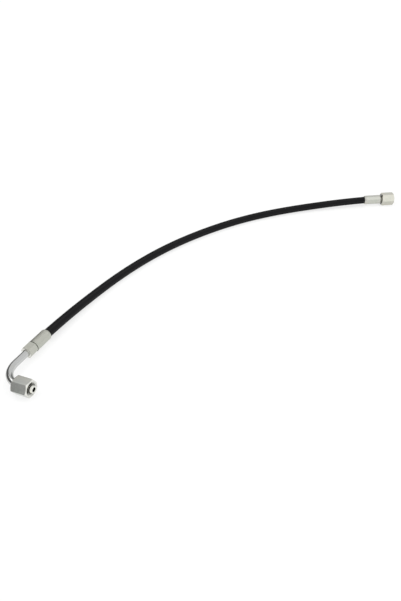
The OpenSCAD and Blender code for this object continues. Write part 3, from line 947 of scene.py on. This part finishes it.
STRAIGHT_NOSE_AT = FERRULE_L + NECK_SHOW_L + STRAIGHT_NUT_BACK
WIRE_BACK = (NUT_L - SEAT_AT - (THREAD_MINOR_R - STRAIGHT_NUT_BORE_R)) / 2
WIRE_RING_R = NECK_R + SWIVEL_GAP / 2
print("straight nose tip from the hose mouth, mm:", round(STRAIGHT_NOSE_AT, 2))

# %% Straight stem
WIRE_R = 0.7
GROOVE_STEPS = 8


def groove_arc(centre_z, radius, side_r, outward):
    """Points of the wire's groove, from its upper edge at side_r down to its lower one."""
    reach = acos((side_r - WIRE_RING_R) / radius)
    middle, half = (0, reach) if outward else (pi, reach - pi)
    points = []
    for i in range(GROOVE_STEPS + 1):
        angle = middle + half * (1 - 2 * i / GROOVE_STEPS)
        points.append((WIRE_RING_R + radius * cos(angle), centre_z + radius * sin(angle)))
    return points


def straight_stem():
    depth = STRAIGHT_NUT_BACK + NECK_SHOW_L
    foot = FIT_GAP - depth
    groove = groove_arc(WIRE_BACK - STRAIGHT_NUT_BACK, WIRE_R + FIT_GAP, NECK_R, outward=False)
    outline = nose_outline(NECK_R) + groove + [(NECK_R, foot), (LOCK_GROOVE_R, foot)]
    outline += tail_outline(-depth, -1)[1:]
    outline += [(STEM_BORE_R, NECK_SHOW_L - depth), (NOSE_BORE_R, NECK_SHOW_L - depth)]
    bm = turned(outline)
    break_edges(bm, width=0.1, sharper_than=40,
                where=lambda radius, height: height > foot + EDGE)
    return bm


hand_over("straight_stem_body", lay(straight_stem(), STRAIGHT_AXIS, along_z(STRAIGHT_NOSE_AT)),
          zinc_straight, "straight_stem")

# %% [markdown]
# ## Elbow tube
# The tube is bent cold over a form. Its mesh does the same: two circles, the outside and the
# bore, are extruded along the nose leg, spun a quarter turn round the middle of the bend and
# extruded down the other leg. Then both ends are bridged.

# %% Elbow tube
TUBE_BORE_R = 3.5
BEND_STEPS = 60
TUBE_SIDES = 64


def elbow_tube():
    bm = bmesh.new()
    nose_end = -(NOSE_L - SOCKET_L + FIT_GAP)
    stem_end = STEM_Y + SOCKET_L - FIT_GAP
    rims = []
    for radius in (TUBE_R, TUBE_BORE_R):
        verts, start = start_ring(bm, radius, TUBE_SIDES)
        bmesh.ops.transform(bm, matrix=NOSE_LEG @ along_z(nose_end), verts=verts)
        verts, edges = grow(bm, start)
        bmesh.ops.translate(bm, vec=((BEND_END_X - nose_end) * MM, 0, 0), verts=verts)
        spun = spin(bm, verts + edges, -pi / 2, BEND_STEPS,
                    centre=(BEND_END_X * MM, BEND_R * MM, 0))
        verts, end = grow(bm, sorted_geom(spun["geom_last"])[1])
        bmesh.ops.translate(bm, vec=(0, (stem_end - BEND_R) * MM, 0), verts=verts)
        rims.append((start, end))
    return closed(bm, *(outer + bore for outer, bore in zip(*rims)))


hand_over("elbow_tube_bent", elbow_tube(), plated_tube, "elbow_tube")

# %% [markdown]
# ## Small round pieces
# O-rings and the thrust wire are a circle spun round the axis, the wire with a gap so that it
# can be fed in. The braze rings are turned, with the hollow that molten copper leaves.

# %% O-rings and thrust wire
WIRE_GAP_ANGLE = 20.0
SECTION_SIDES = 24
O_RING_R = cone_r(O_RING_AT) - O_RING_SINK + FIT_GAP + O_RING_T / 2


def round_ring(ring_r, thickness, sweep=360):
    """Ring of round section about Z, open by what the sweep leaves out."""
    bm = bmesh.new()
    verts, edges = start_ring(bm, thickness / 2, SECTION_SIDES)
    bmesh.ops.transform(bm, matrix=Matrix.Translation((ring_r * MM, 0, 0)) @ turn(90, "X"),
                        verts=verts)
    spin(bm, verts + edges, radians(sweep), TURN_STEPS, merge=sweep == 360)
    bmesh.ops.holes_fill(bm, edges=[e for e in bm.edges if e.is_boundary], sides=0)
    return closed(bm)


for end, axis, at in (("elbow", NOSE_LEG, -O_RING_AT),
                      ("straight", STRAIGHT_AXIS, STRAIGHT_NOSE_AT - O_RING_AT)):
    hand_over(end + "_o_ring_seal", lay(round_ring(O_RING_R, O_RING_T), axis, along_z(at)),
              seal_rubber, end + "_o_ring")
hand_over("straight_thrust_ring",
          lay(round_ring(WIRE_RING_R, 2 * WIRE_R, 360 - WIRE_GAP_ANGLE), STRAIGHT_AXIS,
              along_z(STRAIGHT_NOSE_AT - STRAIGHT_NUT_BACK + WIRE_BACK),
              turn(WIRE_GAP_ANGLE / 2, "Z")),
          spring_wire, "straight_thrust_wire")

# %% Braze rings
FILLET_STEPS = 8


def braze_ring():
    """Fillet below z = 0, hollow on the open side."""
    inner_r = TUBE_R + FIT_GAP / 2
    hollow_r = (BRAZE_R + TUBE_R) / 2 + BRAZE_W / 4
    outline = [(inner_r, FIT_GAP - BRAZE_L), (BRAZE_R, FIT_GAP - BRAZE_L)]
    start = -acos((BRAZE_R - hollow_r) / (BRAZE_W / 2))
    for i in range(FILLET_STEPS + 1):
        angle = start - (pi + start) * i / FILLET_STEPS
        outline.append((hollow_r + BRAZE_W / 2 * cos(angle), BRAZE_W / 2 * sin(angle)))
    return turned(outline + [(inner_r, 0)])


for side, axis, at in (("stem", HOSE_LEG, STEM_Y), ("nose", NOSE_LEG, -NOSE_L)):
    hand_over(f"elbow_{side}_fillet", lay(braze_ring(), axis, along_z(at), FLIP), plated_braze,
              f"elbow_{side}_braze")

# %% [markdown]
# ## Swivel nuts
# Each nut is a hexagon bar with its corners turned down at both ends, bored, threaded from the
# mouth and given a seat that pulls on the nose's shoulder. Rings at the thread's pitch would look
# much the same from afar, but the thread is what this nut is for, so it is a real helix. One
# pitch of its profile is spun round and lifted as it turns, every turn is welded to the one
# before, and two planes cut its ends off flat.

# %% Helical thread
THREAD_FROM = 0.25
THREAD_START = -2
SPARE_TURNS = 3
RELIEF_R = THREAD_R + EDGE / 2


def thread_wall(bm):
    """Adds the open wall of a right-hand thread between the mouth and the relief."""
    profile = [(THREAD_MINOR_R, 0), (THREAD_MINOR_R, 0.25), (THREAD_R, 0.56), (THREAD_R, 0.69),
               (THREAD_MINOR_R, 1)]
    turns = THREAD_TURNS + SPARE_TURNS
    geom = draw_outline(bm, [(r, (THREAD_START + share) * THREAD_PITCH) for r, share in profile],
                        is_loop=False)
    spin(bm, geom, 2 * pi * turns, TURN_STEPS * turns,
         lift=THREAD_PITCH / TURN_STEPS * MM)
    bmesh.ops.remove_doubles(bm, verts=bm.verts, dist=UM)
    for height, way in ((THREAD_FROM, -1), (RELIEF_AT, 1)):
        bmesh.ops.bisect_plane(bm, geom=bm.verts[:] + bm.edges[:] + bm.faces[:], dist=0.01 * UM,
                               plane_co=(0, 0, height * MM), plane_no=(0, 0, way),
                               clear_outer=True)
    for vert in bm.verts:
        radius, _ = polar(vert)
        vert.co.xy *= max(radius, RELIEF_R - vert.co.z / MM) / radius


# %% [markdown]
# The rest of the nut is turned as an open outline, from the relief round the outside to the
# mouth, and two bridges close it with the thread. The straight nut also has the groove for its
# thrust wire, and the small hole in one flat that the wire is fed in through. A hole across a
# turned wall is a job for a Boolean, and its cutter is removed as soon as it has cut.

# %% Body of a swivel nut
NUT_AF = 22.0


def nut_outline(bore_r, groove):
    outline = [(RELIEF_R, 0)] + hexagon_outline(NUT_AF, NUT_L, corner_at=2)
    outline += [(bore_r + EDGE, NUT_L), (bore_r, NUT_L - EDGE)] + groove
    return outline + [(bore_r, SEAT_AT + THREAD_MINOR_R - bore_r), (THREAD_MINOR_R, SEAT_AT),
                      (RELIEF_R, SEAT_AT), (RELIEF_R, RELIEF_AT + EDGE)]


def swivel_nut(bore_r, groove=()):
    bm = bmesh.new()
    thread_wall(bm)
    turn_outline(bm, nut_outline(bore_r, list(groove)), is_loop=False)
    rims = [edge for edge in bm.edges if edge.is_boundary]
    middle = RELIEF_AT / 2 * MM
    closed(bm, [edge for edge in rims if edge.verts[0].co.z < middle],
           [edge for edge in rims if edge.verts[0].co.z >= middle])
    shape_hexagon(bm, NUT_AF, NUT_L)
    break_edges(bm, width=0.18, where=lambda radius, height: radius > RELIEF_R + FIT_GAP)
    return bm


# %% Feed hole and both nuts
WIRE_HOLE_R = 0.9
WIRE_HOLE_TURN = 300
WIRE_HOLE_SIDES = 32
WIRE_GROOVE_R = WIRE_R + 2 * SWIVEL_GAP


def drill_wire_hole(nut):
    """The straight nut's mesh with its feed hole cut through one flat."""
    drill = bmesh.new()
    bmesh.ops.create_cone(drill, cap_ends=True, segments=WIRE_HOLE_SIDES,
                          radius1=WIRE_HOLE_R * MM, radius2=WIRE_HOLE_R * MM,
                          depth=NUT_AF / 2 * MM)
    lay(drill, turn(WIRE_HOLE_TURN, "Z"),
        Matrix.Translation((NUT_AF / 2 * MM, 0, (NUT_L - WIRE_BACK) * MM)), turn(90, "Y"))
    blank, cutter = new_object("nut_blank", nut), new_object("wire_drill", drill)
    hole = blank.modifiers.new("hole", "BOOLEAN")
    hole.operation, hole.solver, hole.object = "DIFFERENCE", "EXACT", cutter
    drilled = bmesh.new()
    drilled.from_object(blank, bpy.context.evaluated_depsgraph_get())
    for used in (blank, cutter):
        bpy.data.meshes.remove(used.data)
    return drilled


elbow_nut = swivel_nut(ELBOW_NUT_BORE_R)
straight_nut = drill_wire_hole(swivel_nut(
    STRAIGHT_NUT_BORE_R,
    groove_arc(NUT_L - WIRE_BACK, WIRE_GROOVE_R, STRAIGHT_NUT_BORE_R, outward=True)))
print("open edges in the two nuts:",
      [sum(len(edge.link_faces) != 2 for edge in nut.edges) for nut in (elbow_nut, straight_nut)])
hand_over("elbow_nut_body", lay(elbow_nut, NOSE_LEG, along_z(ELBOW_NUT_MOUTH_X), FLIP),
          zinc_nose_leg, "elbow_swivel_nut", body="elbow_nut")
hand_over("straight_nut_body",
          lay(straight_nut, STRAIGHT_AXIS, along_z(STRAIGHT_NOSE_AT + STRAIGHT_NUT_MOUTH), FLIP),
          zinc_straight, "straight_swivel_nut", body="straight_nut")

# %% [markdown]
# ## Floor and light
# The assembly lies on a plain pale floor under a wide soft sky. Plated steel shows nothing but
# what is round it, so the sky isn't even. It is dark low down behind the elbow and grows bright
# towards the open side and overhead, which gives the fittings their dark lines and highlights.
# Dark cards round it would do the same, but they would stand in some views. One faint lamp on
# the left gives the shadow its side.

# %% Floor
FLOOR_Z = -11.0
FLOOR_SPAN_M = 12.0
FLOOR_SINK_MM = 0.02
FLOOR_GLOW = 1.15
GLOW_SHARE = 0.6


def floor_finish():
    f = Finish("floor_paint")
    f.wear(Base_Color=(0.9, 0.9, 0.9, 1), Roughness=0.9, Specular_IOR_Level=0.1)
    path = f.add("ShaderNodeLightPath").outputs
    seen = f.math("MAXIMUM", path["Is Camera Ray"],
                  f.math("MAXIMUM", path["Is Glossy Ray"], path["Is Transmission Ray"]))
    glow = f.add("ShaderNodeEmission", [("Color", (1, 1, 1, 1)), ("Strength", FLOOR_GLOW)])
    mixed = f.add("ShaderNodeMixShader", [(0, f.times(seen, GLOW_SHARE)),
                                          (1, f.shader.outputs[0]), (2, glow.outputs[0])])
    f.put(mixed.outputs[0], f.tree.nodes["Material Output"].inputs["Surface"])
    return f.material


floor_bm = bmesh.new()
bmesh.ops.create_grid(floor_bm, x_segments=4, y_segments=4, size=FLOOR_SPAN_M)
bmesh.ops.translate(floor_bm, vec=(0, 0, (FLOOR_Z - FLOOR_SINK_MM) * MM), verts=floor_bm.verts)
floor = new_object("floor", floor_bm, floor_finish())

# %% Sky
SKY_MIDDLE = 0.5
SKY_RISE = (0.375, -0.094, 0.3125)
SKY_LEVELS = ((0.1, 0.14), (0.34, 0.14), (0.405, 0.27), (0.432, 0.98), (0.55, 0.88), (0.84, 0.9),
              (0.96, 1.35))


def sky():
    """Light from all round whose level follows how far a direction lies along SKY_RISE."""
    world = bpy.data.worlds.new("studio")
    bpy.context.scene.world = world
    f = Nodes(world)
    direction = f.add("ShaderNodeTexCoord").outputs["Generated"]
    rise = f.vector("DOT_PRODUCT", direction, SKY_RISE, "Value")
    levels = f.ramp(f.math("ADD", rise, SKY_MIDDLE), *[(at, [level] * 3)
                                                       for at, level in SKY_LEVELS])
    f.put(levels, f.tree.nodes["Background"].inputs["Color"])


sky()
print("sky, darkest and brightest:", min(SKY_LEVELS)[1], max(SKY_LEVELS)[1])

# %% Soft lamp
LAMP_AT, LAMP_AIM = Vector((-1.0, 0.3, 1.3)), Vector((0.1, 0.35, 0))
LAMP_SIZE_M, LAMP_WATTS = 0.8, 3

soft_lamp = bpy.data.lights.new("soft_lamp", "AREA")
soft_lamp.shape, soft_lamp.size, soft_lamp.energy = "SQUARE", LAMP_SIZE_M, LAMP_WATTS
holder = bpy.data.objects.new("soft_lamp", soft_lamp)
bpy.context.scene.collection.objects.link(holder)
holder.location = LAMP_AT
holder.rotation_euler = (LAMP_AIM - LAMP_AT).to_track_quat("-Z", "Y").to_euler()
print("lamp's distance, m:", round((LAMP_AIM - LAMP_AT).length, 2))
